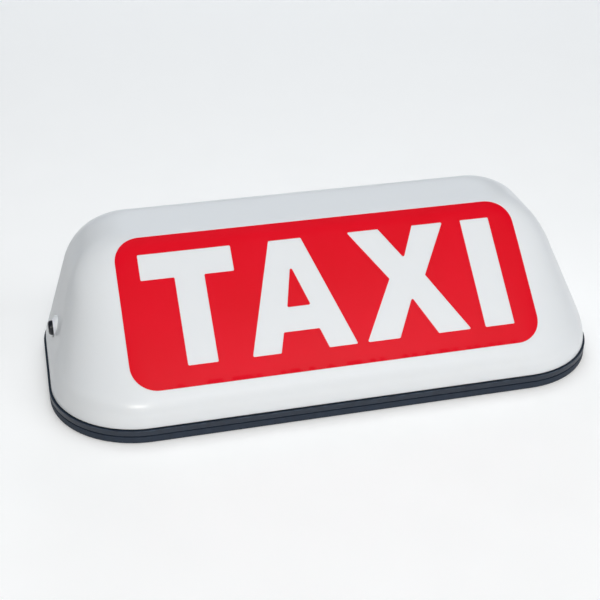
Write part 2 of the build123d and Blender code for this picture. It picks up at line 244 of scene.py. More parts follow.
def bridge_crest(ring, verts, faces, flip):
    """Closes the flat on top with rows of quads running front to back."""
    n = len(ring)
    left = 3 * N_ARC + N_END + N_LONG + N_END // 2      # middle of the left end
    half = n // 2
    front = [ring[(left + k) % n] for k in range(half + 1)]
    back = [ring[(left - k) % n] for k in range(half + 1)]
    rows = []
    for f, b in zip(front, back):
        row = [f]
        if f != b:
            for i in range(1, N_CREST):
                row.append(len(verts))
                verts.append(tuple(p + (q - p) * i / N_CREST for p, q in zip(verts[f], verts[b])))
        rows.append(row + [b])
    for a, b in zip(rows, rows[1:]):
        if len(a) < len(b):
            a = [a[0]] * len(b)
        if len(b) < len(a):
            b = [b[0]] * len(a)
        for i in range(N_CREST):
            quad = [a[i], b[i], b[i + 1], a[i + 1]]
            quad = [v for k, v in enumerate(quad) if v not in quad[:k]]
            faces.append(quad[::-1] if flip else quad)


def closed_skin(t):
    """Solid just under the outer skin, for cutting tools to its shape."""
    verts, faces = [], []
    low = skin(t, verts, faces, False)
    faces.append(low[::-1])
    return new_mesh("solid", verts, faces)


def x_cylinder(name, r, x0, x1, n=96):
    """Cylinder on the end screws' axis."""
    verts, faces = [], []
    for x in (x0, x1):
        for i in range(n):
            a = 2 * math.pi * i / n
            verts.append((x, SCREW_Y + r * math.cos(a), SCREW_Z + r * math.sin(a)))
    for i in range(n):
        j = (i + 1) % n
        faces.append([i, j, n + j, n + i])
    faces.append(list(range(n))[::-1])
    faces.append([n + i for i in range(n)])
    ob = new_mesh(name, verts, faces, smooth=False)
    fix_normals(ob)
    return ob


def make_dome():
    """Shell with a seat in each end: a plug that makes up the wall, a pad that stands
    proud above the screw, and a flat pocket sunk into the wall below it."""
    verts, faces = [], []
    low_out = skin(0.0, verts, faces, False)
    low_in = skin(WALL, verts, faces, True)
    n = len(low_out)
    for i in range(n):
        j = (i + 1) % n
        faces.append([low_out[j], low_out[i], low_in[i], low_in[j]])
    ob = new_mesh("dome_shell", verts, faces)
    outside = 152.0             # past the end wall
    under_skin = 0.04           # keeps the plug's end off the skin
    pad_x = BOSS_X + 0.3        # the pad starts inside the plug
    for s in (-1, 1):
        plug = x_cylinder("plug", PAD_R, s * BOSS_X, s * outside)
        boolean(plug, closed_skin(under_skin), "INTERSECT")
        boolean(ob, plug, "UNION")
        boolean(ob, x_cylinder("pad", PAD_R, s * pad_x, s * SEAT_X), "UNION")
        boolean(ob, x_cylinder("pocket", POCKET_R, s * SEAT_X, s * (SEAT_X + 12)), "DIFFERENCE")
        boolean(ob, x_cylinder("hole", HOLE_R, s * (BOSS_X - 3), s * (SEAT_X + 5)), "DIFFERENCE")
    shade(ob, 38)
    return ob


# ------------------------------------------------------------------ film
FACE_NORMAL = Vector((0, -math.cos(FRONT_A), math.sin(FRONT_A)))
FILM_STEP = 2.5                 # spacing of the film's points
FILM_LIFT = 0.02                # its underside off the dome
CORNER_STEPS, PANEL_STEPS = 5, 16


def arc_corner(p0, p1, p2, r, n):
    """Points of a fillet of radius r at corner p1."""
    v1 = (Vector(p0) - Vector(p1)).normalized()
    v2 = (Vector(p2) - Vector(p1)).normalized()
    half = v1.angle(v2) / 2
    d = r / math.tan(half)
    centre = Vector(p1) + (v1 + v2).normalized() * (r / math.sin(half))
    start = Vector(p1) + v1 * d - centre
    end = Vector(p1) + v2 * d - centre
    turn = start.angle_signed(end)
    return [tuple(centre + Matrix.Rotation(-turn * i / n, 2) @ start) for i in range(n + 1)]


def rounded(pts, r=CUT_R, n=CORNER_STEPS):
    """Outline through pts, measured from the film's lower left corner, with rounded corners."""
    out = []
    for i, p in enumerate(pts):
        out += arc_corner(pts[i - 1], p, pts[(i + 1) % len(pts)], r, n)
    return out


OUTLINES = [
    rounded([(0, 0), (PANEL_W, 0), (PANEL_W, PANEL_H), (0, PANEL_H)], PANEL_R, PANEL_STEPS),
    rounded([(11.7, BAR), (29.2, BAR), (29.2, V0), (44.8, V0), (44.8, BAR), (60.6, BAR),
             (60.6, V1), (11.7, V1)]),
    rounded([(62.4, V0), (77.4, V0), (80.6, 22.0), (99.6, 22.0), (102.9, V0), (118.3, V0),
             (98.8, V1), (81.2, V1)]),
    rounded([(84.8, 35.5), (97.3, 35.5), (90.4, 58.5)]),
    rounded([(124.2, V1), (141.8, V1), (152.8, 55.5), (161.1, V1), (178.6, V1),
             (162.3, WAIST), (180.8, V0), (162.6, V0), (152.3, 32.5), (141.2, V0),
             (123.4, V0), (142.3, WAIST)]),
    rounded([(188.8, V0), (205.3, V0), (205.3, V1), (188.8, V1)]),
]


def inside(pt, loop):
    """True where a ray from the point crosses the loop an odd number of times."""
    x, y = pt
    hit = False
    for (x0, y0), (x1, y1) in zip(loop, loop[1:] + loop[:1]):
        if (y0 > y) != (y1 > y) and x < x0 + (y - y0) * (x1 - x0) / (y1 - y0):
            hit = not hit
    return hit


def in_film(pt):
    """True where the film is: in the panel and in an even number of cut outlines."""
    depth = sum(inside(pt, loop) for loop in OUTLINES[1:])
    return inside(pt, OUTLINES[0]) and depth % 2 == 0


def in_dome(p):
    """True where a point, at or above the foot, is under the dome skin."""
    if p.z > TOP:
        return False
    hx, y0, _, r = section_size(p.z)
    over = abs(p.x) - (hx - r)
    skin_y = y0 + (r - math.sqrt(max(0.0, r * r - over * over)) if over > 0 else 0.0)
    return p.y > skin_y


def on_face(u, v):
    """Point of the dome skin straight behind panel coordinates u, v."""
    s = PANEL_S + v
    p = Vector((u - PANEL_W / 2, -WIDTH / 2 + s * math.sin(FRONT_A), FRONT["foot"] + s * math.cos(FRONT_A)))
    near, far = -0.5, 14.0      # depths just off the face and well under the crest, then halved
    for _ in range(26):
        mid = (near + far) / 2
        if in_dome(p - FACE_NORMAL * mid):
            far = mid
        else:
            near = mid
    return p - FACE_NORMAL * far


def densify(loop, step):
    out = []
    for a, b in zip(loop, loop[1:] + loop[:1]):
        n = max(1, int(math.dist(a, b) / step))
        out += [(a[0] + (b[0] - a[0]) * i / n, a[1] + (b[1] - a[1]) * i / n) for i in range(n)]
    return out


def film_points():
    """Points on the outlines and on a grid between them, and the outlines' edges."""
    pts, edges = [], []
    for outline in OUTLINES:
        loop = densify(outline, FILM_STEP)
        base, n = len(pts), len(loop)
        pts += [Vector(p) for p in loop]
        edges += [(base + i, base + (i + 1) % n) for i in range(n)]
    on_outlines = list(pts)
    for i in range(1, int(PANEL_W / FILM_STEP)):
        for j in range(1, int(PANEL_H / FILM_STEP)):
            # a little off the round numbers, so that no point falls on a letter's edge
            p = (i * FILM_STEP + 0.07, j * FILM_STEP + 0.05)
            near = min((Vector(p) - q).length for q in on_outlines)
            if near > 1.0 and in_film(p):
                pts.append(Vector(p))
    return pts, edges


def make_film():
    """Thin sheet that follows the face and the crest, with the letters cut out."""
    pts, edges = film_points()
    flat, _, tris, *_ = delaunay_2d_cdt(pts, edges, [], 0, 1e-5)
    keep = []
    for t in tris:
        c = sum((flat[i] for i in t), Vector((0, 0))) / 3
        if in_film((c.x, c.y)):
            keep.append(list(t))
    used = sorted({i for t in keep for i in t})
    index = {i: k for k, i in enumerate(used)}
    low, high = [], []
    for i in used:
        p = on_face(flat[i].x, flat[i].y)
        low.append(tuple(p + FACE_NORMAL * FILM_LIFT))
        high.append(tuple(p + FACE_NORMAL * FILM_T))
    n = len(used)
    faces = [[index[i] + n for i in t] for t in keep] + [[index[i] for i in t][::-1] for t in keep]
    border = {}                 # edges of one triangle only, in order
    for t in keep:
        for a, b in zip(t, t[1:] + t[:1]):
            if (b, a) in border:
                del border[(b, a)]
            else:
                border[(a, b)] = True
    for a, b in border:
        faces.append([index[a], index[b], index[b] + n, index[a] + n])
    ob = new_mesh("film_skin", low + high, faces)
    fix_normals(ob)
    shade(ob, 40)
    return ob


# ------------------------------------------------------------------ edges for the CAD pieces
WELD, FLAT_ANGLE = 2e-6, 0.6    # metres and degrees


def refined(node, width, segments=2, angle=32.0):
    """A copy of a CAD node with edges softened by width mm, standing for that node."""
    src = frame["nodes"][node]
    me = src.data.copy()
    ob = new_object(node + "_edged", me)
    me.materials.clear()
    bm = bmesh.new()
    bm.from_mesh(me)
    bmesh.ops.remove_doubles(bm, verts=bm.verts, dist=WELD)
    bmesh.ops.dissolve_limit(bm, angle_limit=math.radians(FLAT_ANGLE), verts=bm.verts, edges=bm.edges,
                             use_dissolve_boundaries=False)
    bm.to_mesh(me)
    bm.free()
    if width:
        me.materials.append(None)
        me.materials.append(None)
        m = ob.modifiers.new("edge", "BEVEL")
        m.material = 1          # tells the new faces apart, for mark_worn
        m.width = width * MM
        m.segments = segments
        m.limit_method = "ANGLE"
        m.angle_limit = math.radians(angle)
        m.use_clamp_overlap = True
        m.harden_normals = False
        apply_modifiers(ob)
        mark_worn(ob)
    shade(ob, angle)
    weigh_normals(ob)
    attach(ob, src["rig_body"])
    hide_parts(node)
    return ob


def mark_worn(ob):
    """Face attribute "worn": 1 on the rounded edges that stand out, 0 elsewhere."""
    bm = bmesh.new()
    bm.from_mesh(ob.data)
    worn = bm.faces.layers.float.new("worn")
    for f in bm.faces:
        if f.material_index:
            c = f.calc_center_median()
            beside = [g for e in f.edges for g in e.link_faces if g is not f]
            rise = sum(f.normal.dot(g.calc_center_median() - c) for g in beside)
            f[worn] = 1.0 if rise < 0 else 0.0
    for f in bm.faces:
        f.material_index = 0
    bm.to_mesh(ob.data)
    bm.free()


# ------------------------------------------------------------------ materials
def srgb(r, g, b):
    """Linear colour from 0-255 sRGB."""
    out = []
    for c in (r, g, b):
        c /= 255.0
        out.append(c / 12.92 if c <= 0.04045 else ((c + 0.055) / 1.055) ** 2.4)
    return (*out, 1.0)


def add_noise(tree, vector, scale, detail=2.0):
    node = tree.nodes.new("ShaderNodeTexNoise")
    node.inputs["Scale"].default_value = scale
    node.inputs["Detail"].default_value = detail
    tree.links.new(vector, node.inputs["Vector"])
    return node.outputs["Fac"]


def add_range(tree, value, start=(0.0, 1.0), to=(0.0, 1.0), smooth=False):
    """Value spread from one range to another, and held at its ends."""
    node = tree.nodes.new("ShaderNodeMapRange")
    if smooth:
        node.interpolation_type = "SMOOTHSTEP"
    node.inputs["From Min"].default_value, node.inputs["From Max"].default_value = start
    node.inputs["To Min"].default_value, node.inputs["To Max"].default_value = to
    tree.links.new(value, node.inputs["Value"])
    return node.outputs["Result"]


def add_product(tree, a, b):
    node = tree.nodes.new("ShaderNodeMath")
    node.operation = "MULTIPLY"
    tree.links.new(a, node.inputs[0])
    tree.links.new(b, node.inputs[1])
    return node.outputs["Value"]


def add_mix(tree, factor, colour, other):
    """The colour of a socket, turning to another colour with factor."""
    node = tree.nodes.new("ShaderNodeMix")
    node.data_type = "RGBA"
    tree.links.new(factor, node.inputs["Factor"])
    tree.links.new(colour, node.inputs["A"])
    node.inputs["B"].default_value = other
    return node.outputs["Result"]


def surface(name, dark, light, rough=(0.3, 0.4), scale=400.0, bump=0.05, bump_mm=0.02,
            bump_scale=None, metallic=0.0, coat=0.0, ior=1.5, stretch=None, wear=None, detail=5.0):
    """Procedural finish: colour clouds, roughness variation and a fine bump.

    stretch squeezes the pattern along the axes for brushed grain; wear is a
    colour that shows in patches on the faces marked as worn.
    """
    m = bpy.data.materials.new(name)
    m.use_nodes = True
    tree = m.node_tree
    shader = tree.nodes["Principled BSDF"]
    where = tree.nodes.new("ShaderNodeTexCoord")
    mapping = tree.nodes.new("ShaderNodeMapping")
    tree.links.new(where.outputs["Object"], mapping.inputs["Vector"])
    if stretch:
        mapping.inputs["Scale"].default_value = stretch
    grain = mapping.outputs["Vector"]

    clouds = add_noise(tree, grain, scale, detail)
    ramp = tree.nodes.new("ShaderNodeValToRGB")
    for stop, position, shown in zip(ramp.color_ramp.elements, (0.3, 0.7), (dark, light)):
        stop.position = position
        stop.color = shown
    tree.links.new(clouds, ramp.inputs["Fac"])
    colour = ramp.outputs["Color"]
    if wear:
        worn = tree.nodes.new("ShaderNodeAttribute")
        worn.attribute_name = "worn"
        patches = add_range(tree, add_noise(tree, grain, 260.0), (0.40, 0.62))
        colour = add_mix(tree, add_product(tree, worn.outputs["Fac"], patches), colour, wear)
    tree.links.new(colour, shader.inputs["Base Color"])
    tree.links.new(add_range(tree, clouds, to=rough), shader.inputs["Roughness"])

    relief = tree.nodes.new("ShaderNodeBump")
    relief.inputs["Strength"].default_value = bump
    relief.inputs["Distance"].default_value = bump_mm * MM
    tree.links.new(add_noise(tree, grain, bump_scale or scale * 4, 3.0), relief.inputs["Height"])
    tree.links.new(relief.outputs["Normal"], shader.inputs["Normal"])
    shader.inputs["Metallic"].default_value = metallic
    shader.inputs["Coat Weight"].default_value = coat
    shader.inputs["Coat Roughness"].default_value = 0.1
    shader.inputs["IOR"].default_value = ior
    return m


def dome_material():
    """Milky plastic that lets a little light through."""
    m = surface("dome_milk", srgb(224, 227, 230), srgb(225, 228, 231), (0.27, 0.29), 6.0,
                0.05, 0.02, 1200.0, detail=0.0)
    shader = m.node_tree.nodes["Principled BSDF"]
    shader.inputs["Subsurface Weight"].default_value = 0.3
    shader.inputs["Subsurface Radius"].default_value = (1.0, 0.95, 0.9)
    shader.inputs["Subsurface Scale"].default_value = 2.0 * MM
    return m


def film_material():
    m = surface("film_red", srgb(214, 0, 24), srgb(220, 0, 30), (0.26, 0.32), 25.0,
                0.05, 0.01, 1500.0, ior=1.42)
    m.node_tree.nodes["Principled BSDF"].inputs["Specular IOR Level"].default_value = 0.35
    return m


METAL = 0.75                    # a little under 1, as for a dull plated finish
MATERIALS = {
    "dome_plastic": dome_material(),
    "film_red": film_material(),
    "seal_foam": surface("seal_foam", srgb(20, 22, 25), srgb(34, 36, 40), (0.8, 0.95), 900, 0.6, 0.08),
    "base_plastic": surface("base_plastic", srgb(20, 31, 46), srgb(28, 40, 56), (0.38, 0.5), 300,
                            0.35, 0.04, 1500, wear=srgb(70, 84, 100)),
    "skirt_rubber": surface("skirt_rubber", srgb(26, 37, 52), srgb(34, 46, 62), (0.62, 0.78), 350,
                            0.4, 0.05, 1100),
    "black_rubber": surface("black_rubber", srgb(22, 23, 25), srgb(34, 35, 38), (0.6, 0.8), 300,
                            0.4, 0.05, 1200),
    "zinc_steel": surface("zinc_steel", srgb(182, 184, 188), srgb(214, 215, 214), (0.24, 0.38), 500,
                          0.15, 0.02, 2200, METAL),
    "black_steel": surface("black_steel", srgb(14, 16, 24), srgb(24, 27, 36), (0.25, 0.4), 500,
                           0.2, 0.02, 2500, coat=0.1, wear=srgb(90, 92, 98)),
    "ferrite": surface("ferrite", srgb(52, 52, 56), srgb(74, 74, 78), (0.55, 0.75), 700, 0.5, 0.06),
    "white_nylon": surface("white_nylon", srgb(220, 222, 230), srgb(236, 237, 242), (0.35, 0.45), 300,
                           0.2, 0.02),
    "board_white": surface("board_white", srgb(231, 234, 230), srgb(237, 239, 235), (0.25, 0.35), 90,
                           0.2, 0.03, 700, coat=0.3),
    "board_green": surface("board_green", srgb(12, 78, 40), srgb(20, 98, 52), (0.25, 0.35), 260,
                           0.25, 0.03, 900, coat=0.4),
    "led_body": surface("led_body", srgb(236, 226, 150), srgb(244, 236, 178), (0.3, 0.4), 500, 0.1, 0.02),
    "black_part": surface("black_part", srgb(20, 20, 22), srgb(34, 34, 37), (0.45, 0.6), 900, 0.4, 0.03),
    "can_aluminium": surface("can_aluminium", srgb(188, 190, 193), srgb(214, 215, 216), (0.22, 0.36),
                             300, 0.2, 0.02, 900, METAL, stretch=(1, 1, 0.06)),
    "ferrite_coil": surface("ferrite_coil", srgb(40, 40, 43), srgb(62, 62, 66), (0.55, 0.7), 700,
                            0.5, 0.05),
    "terminal_green": surface("terminal_green", srgb(30, 120, 66), srgb(42, 142, 80), (0.35, 0.5), 300,
                              0.3, 0.03),
    "sheet_aluminium": surface("sheet_aluminium", srgb(176, 178, 181), srgb(206, 207, 209), (0.26, 0.42),
                               240, 0.3, 0.02, 800, METAL, stretch=(0.05, 1, 1)),
    "wire_red": surface("wire_red", srgb(178, 20, 22), srgb(200, 30, 30), (0.35, 0.45), 400, 0.2, 0.02),
    "wire_black": surface("wire_black", srgb(18, 18, 20), srgb(30, 30, 33), (0.35, 0.45), 400, 0.2, 0.02),
}
SLOT_OF = {p["node"]: p["material_slot"] for p in frame["record"]["subparts"]}

# finishes that only the small parts show
SOLDER = surface("solder", srgb(170, 172, 176), srgb(200, 201, 204), (0.22, 0.36), 900,
                 0.3, 0.03, metallic=METAL)
COPPER = surface("enamelled_copper", srgb(140, 70, 36), srgb(170, 92, 50), (0.25, 0.38), 700,
                 0.2, 0.02, metallic=0.85, coat=0.5)
LENS = surface("led_phosphor", srgb(236, 202, 64), srgb(246, 216, 92), (0.18, 0.26), 900,
               0.25, 0.03, coat=0.6)
WHITE_BODY = surface("led_housing", srgb(232, 232, 226), srgb(242, 242, 238), (0.35, 0.45), 900, 0.2, 0.02)
SLEEVE = surface("can_sleeve", srgb(24, 28, 40), srgb(34, 38, 52), (0.28, 0.38), 500, 0.2, 0.02, coat=0.3)
BOARD_EDGE = surface("glass_epoxy", srgb(176, 158, 96), srgb(198, 180, 120), (0.5, 0.65), 1500, 0.5, 0.05)
TRACK_WHITE = surface("track_under_white", srgb(208, 210, 200), srgb(218, 220, 211), (0.25, 0.35), 200,
                      0.2, 0.02, coat=0.3)
TRACK_GREEN = surface("track_under_green", srgb(34, 122, 66), srgb(44, 138, 78), (0.25, 0.35), 300,
                      0.2, 0.02, coat=0.4)


def dress(ob, slot):
    """Gives an object the finish of its slot, all over."""
    ob.data.materials.clear()
    ob.data.materials.append(MATERIALS[slot])


# ------------------------------------------------------------------ small parts
def rotation(x_dir, z_dir):
    """Local axes, as columns, from the directions of local X and Z."""
    z = Vector(z_dir).normalized()
    x = Vector(x_dir).normalized()
    return Matrix((x, z.cross(x), z)).transposed()


ON_FRONT = rotation((1, 0, 0), FACE_NORMAL)
ON_REAR = rotation((-1, 0, 0), (0, math.cos(BACK_A), math.sin(BACK_A)))
UPRIGHT = Matrix.Identity(3)
OUT_LEFT = rotation((0, 1, 0), (-1, 0, 0))
OUT_RIGHT = rotation((0, 1, 0), (1, 0, 0))


def seats(node, rot=UPRIGHT):
    """Place and size of each separate solid of a CAD node, standing on local z = 0.

    The place is a matrix in mm; the size is its local width, depth and height.
    """
    bm = bmesh.new()
    bm.from_mesh(frame["nodes"][node].data)
    bmesh.ops.remove_doubles(bm, verts=bm.verts, dist=1e-6)
    left, out = set(bm.verts), []
    while left:
        todo, group = [left.pop()], []
        while todo:
            v = todo.pop()
            group.append(rot.transposed() @ (v.co / MM))
            for e in v.link_edges:
                w = e.other_vert(v)
                if w in left:
                    left.remove(w)
                    todo.append(w)
        lo = Vector(min(p[k] for p in group) for k in range(3))
        hi = Vector(max(p[k] for p in group) for k in range(3))
        foot = Vector(((lo.x + hi.x) / 2, (lo.y + hi.y) / 2, lo.z))
        out.append((Matrix.Translation(rot @ foot) @ rot.to_4x4(), hi - lo))
    bm.free()
    return sorted(out, key=lambda s: tuple(round(c, 3) for c in s[0].translation))


def board_places(node, board, rot):
    """Where the solids of a node stand on a board, from the board's centre."""
    (home, _), = seats(board, rot)
    back = home.inverted()
    return [(back @ place).translation for place, _ in seats(node, rot)]


def circle(r, n=32, turn=0.0):
    return [(r * math.cos(2 * math.pi * (i + turn) / n), r * math.sin(2 * math.pi * (i + turn) / n))
            for i in range(n)]


def square(w, h, r, n=32):
    """Rounded rectangle of n points that pairs well with a circle of n points."""
    pts, q = [], n // 4
    for k, (sx, sy) in enumerate(((1, 1), (-1, 1), (-1, -1), (1, -1))):
        for i in range(q):
            a = math.pi / 2 * (k + i / (q - 1))
            pts.append((sx * (w / 2 - r) + r * math.cos(a), sy * (h / 2 - r) + r * math.sin(a)))
    return pts


class Builder:
    """Collects small closed forms into one piece; kind counts through its materials."""

    def __init__(self, name, *materials):
        self.name, self.materials = name, materials
        self.verts, self.faces, self.kinds = [], [], []

    def add(self, face, kind):
        self.faces.append(face)
        self.kinds.append(kind)

    def stack(self, place, rings, kind=0, shift=(0, 0), closed=(True, True)):
        """Skin over rings of equal length, given as (points, height)."""
        base, n = len(self.verts), len(rings[0][0])
        for pts, z in rings:
            self.verts += [place @ Vector((x + shift[0], y + shift[1], z)) for x, y in pts]
        for k in range(len(rings) - 1):
            low, high = base + k * n, base + (k + 1) * n
            for i in range(n):
                j = (i + 1) % n
                self.add([low + i, low + j, high + j, high + i], kind)
        if closed[0]:
            self.add([base + i for i in range(n)][::-1], kind)
        if closed[1]:
            self.add([base + (len(rings) - 1) * n + i for i in range(n)], kind)

    def plate(self, place, w, h, z0, z1, r=0.2, edge=0.1, kind=0, shift=(0, 0)):
        """Slab with softened upper edges."""
        self.stack(place, [(square(w, h, r), z0), (square(w, h, r), z1 - edge),
                           (square(w - 0.6 * edge, h - 0.6 * edge, r), z1 - 0.3 * edge),
                           (square(w - 2 * edge, h - 2 * edge, max(r - edge, 0.02)), z1)],
                   kind, shift)

    def cone(self, place, r, h):
        """Solder cone with a hollow flank."""
        flank = ((1, 0), (0.82, 0.10), (0.66, 0.30), (0.55, 0.55), (0.42, 0.80), (0.2, 0.96))
        self.turned(place, [(r * f, h * g) for f, g in flank], 20)

    def turned(self, place, profile, n=48, kind=0):
        """Turned form from (radius, height) pairs."""
        self.stack(place, [(circle(r, n), z) for r, z in profile], kind)

    def strip(self, place, x, side, path, width, thick, kind):
        """Bent strip that follows (distance, height) points out to one side."""
        base = len(self.verts)
        for y, z in path:
            for dx, dz in ((-1, -1), (1, -1), (1, 1), (-1, 1)):
                self.verts.append(place @ Vector((x + dx * width / 2, side * y, z + dz * thick / 2)))
        for k in range(len(path) - 1):
            low, high = base + 4 * k, base + 4 * k + 4
            for i in range(4):
                j = (i + 1) % 4
                self.add([low + i, low + j, high + j, high + i], kind)
        self.add([base + i for i in range(4)][::-1], kind)
        self.add([base + 4 * len(path) - 4 + i for i in range(4)], kind)

    def tool(self):
        """The forms as a cutting tool."""
        ob = new_mesh(self.name, self.verts, self.faces)
        fix_normals(ob)
        return ob

    def piece(self, body, slot, *nodes):
        """The forms as a piece of the object, which stands for the given nodes."""
        ob = new_mesh(self.name, self.verts, self.faces)
        for m in self.materials:
            ob.data.materials.append(m)
        ob.data.polygons.foreach_set("material_index", self.kinds)
        fix_normals(ob)
        shade(ob)
        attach(ob, body)
        if nodes:
            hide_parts(*nodes)
        return ob


def make_leds(node, rot):
    """Square packages with a dished window of phosphor and soldered ends."""
    b = Builder(node + "_packages", WHITE_BODY, LENS, SOLDER)
    rim_r, window_r = 2.08, 1.9
    for place, size in seats(node, rot):
        w, top = size.x, size.z
        b.stack(place, [(square(w, w, 0.4), 0.12), (square(w, w, 0.4), top - 0.12),
                        (square(w - 0.24, w - 0.24, 0.35), top), (circle(rim_r, turn=0.5), top),
                        (circle(window_r, turn=0.5), top - 0.32)], 0, closed=(True, False))
        dish = ((window_r, 0.32), (1.5, 0.26), (0.9, 0.2), (0.3, 0.17))
        b.stack(place, [(circle(r, turn=0.5), top - drop) for r, drop in dish], 1, closed=(False, True))
        for s in (-1, 1):
            b.plate(place, 0.9, 3.4, 0.0, 0.28, 0.15, 0.12, 2, (s * (w / 2 + 0.2), 0))
    return b.piece("base", "led_body", node)


def make_resistors():
    """Dark chips with bright ends and their solder."""
    b = Builder("chip_resistors", MATERIALS["black_part"], SOLDER)
    chip_h = 0.6
    for rot in (ON_FRONT, ON_REAR):
        for place, size in seats("board_resistors", rot):
            if abs(size.z - chip_h) > 0.05:     # seen along the wrong board's axes
                continue
            w, h, t = size
            b.plate(place, w - 0.9, h, 0.02, t, 0.05, 0.05, 0)
            for s in (-1, 1):
                b.plate(place, 0.5, h, 0.0, t, 0.06, 0.06, 1, (s * (w / 2 - 0.25), 0))
                b.plate(place, 0.8, h, 0.0, 0.2, 0.06, 0.1, 1, (s * (w / 2 + 0.15), 0))
    return b.piece("base", "black_part", "board_resistors")


def make_board(node, rot, slot):
    """The board with the bare laminate showing at its cut edges."""
    ob = refined(node, 0)
    dress(ob, slot)
    ob.data.materials.append(BOARD_EDGE)
    up = rot.col[2]
    for p in ob.data.polygons:
        p.material_index = 0 if abs(p.normal.dot(up)) > 0.9 else 1
    return ob


def make_chip():
    """Driver chip with a pin mark and eight gull wing leads."""
    (place, size), = seats("driver_chip")
    b = Builder("driver_chip_body", MATERIALS["black_part"], SOLDER)
    w, d, top = size.x, 4.0, size.z
    b.stack(place, [(square(w - 0.2, d - 0.2, 0.1), 0.12), (square(w, d, 0.1), 0.7),
                    (square(w - 0.2, d - 0.2, 0.1), top - 0.04),
                    (square(w - 0.32, d - 0.32, 0.06), top)])
    b.turned(place @ Matrix.Translation((-1.8, -1.3, 0)), [(0.32, top), (0.3, top + 0.015)], 20)
    wing = [(1.9, 0.68), (2.35, 0.68), (2.55, 0.16), (3.1, 0.12)]
    for x in (-1.5, -0.5, 0.5, 1.5):
        for s in (-1, 1):
            b.strip(place, x, s, wing, 0.4, 0.14, 1)
    return b.piece("base", "black_part", "driver_chip")


def make_capacitor():
    """Electrolytic can: shrunk sleeve, bead near the foot, scored top."""
    (place, size), = seats("capacitor")
    r, h = size.x / 2, size.z
    top_r = r * 0.78
    b = Builder("capacitor_can", SLEEVE, MATERIALS["can_aluminium"])
    side = [(r * 0.9, 0.0), (r * 0.97, 0.25), (r, 0.7), (r, 1.6), (r * 0.93, 2.0), (r * 0.93, 2.3),
            (r, 2.7), (r, h - 0.9), (r * 0.985, h - 0.45), (r * 0.94, h - 0.15), (r * 0.88, h - 0.05),
            (top_r, h - 0.08)]
    top = [(top_r, h - 0.08), (r * 0.72, h - 0.16), (r * 0.3, h - 0.16)]
    b.stack(place, [(circle(q, 48), z) for q, z in side], 0, closed=(True, False))
    b.stack(place, [(circle(q, 48), z) for q, z in top], 1, closed=(False, True))
    ob = b.piece("base", "can_aluminium", "capacitor")
    groove = square(6.4, 0.4, 0.15)
    for turn in (0.0, 60.0, 120.0):
        cutter = Builder("groove")
        spin = place @ Matrix.Rotation(math.radians(turn), 4, "Z")
        cutter.stack(spin, [(groove, h - 0.36), (groove, h + 0.4)])
        boolean(ob, cutter.tool(), "DIFFERENCE")
    shade(ob)
    return ob


def make_inductor():
    """Drum core with enamelled copper turns between its flanges."""
    (place, size), = seats("inductor")
    r, h = size.x / 2, size.z
    b = Builder("inductor_drum", MATERIALS["ferrite_coil"], COPPER, SOLDER)
    turns, low, high = 8, 1.2, h - 1.2
    for z0, z1 in ((0.15, low), (high, h)):
        b.turned(place, [(r - 0.15, z0), (r, z0 + 0.15), (r, z1 - 0.15), (r - 0.15, z1)], 64)
    pitch, steps = (high - low) / turns, 6
    core_r, wire_r = r - 0.95, 0.24
    rows = []
    for k in range(turns):
        for f in range(steps):
            a = math.pi * f / steps
            rows.append((core_r + wire_r * math.sin(a), low + pitch * (k + f / steps)))
    b.turned(place, rows + [(core_r, high)], 64, 1)
    for s in (-1, 1):
        b.plate(place, 1.6, 3.6, 0.0, 0.3, 0.2, 0.1, 2, (s * (r - 0.3), 0))
    return b.piece("base", "ferrite_coil", "inductor")


def make_solder():
    """Cones where the leads meet the three boards."""
    b = Builder("lead_solder", SOLDER)
    (front, _), = seats("front_board", ON_FRONT)
    (rear, _), = seats("rear_board", ON_REAR)
    flip = Matrix.Rotation(math.pi, 4, "X")
    for node in ("lead_positive", "lead_negative"):
        for place, size in seats(node):
            foot = place.translation
            to_front = foot.y < 5
            y = foot.y + (size.y / 2 - 0.8) * (1 if to_front else -1)
            b.cone(Matrix.Translation((foot.x, y, foot.z)), 1.6, 1.3)
            home, v = (front, -3.0) if to_front else (rear, -4.0)
            u = (home.inverted() @ Vector((foot.x, 0, 0))).x
            b.cone(home @ Matrix.Translation((u, v, 0)) @ flip, 1.6, 1.3)
            b.cone(home @ Matrix.Translation((u, v, BOARD_T)), 1.2, 0.7)
    return b.piece("base", "zinc_steel")


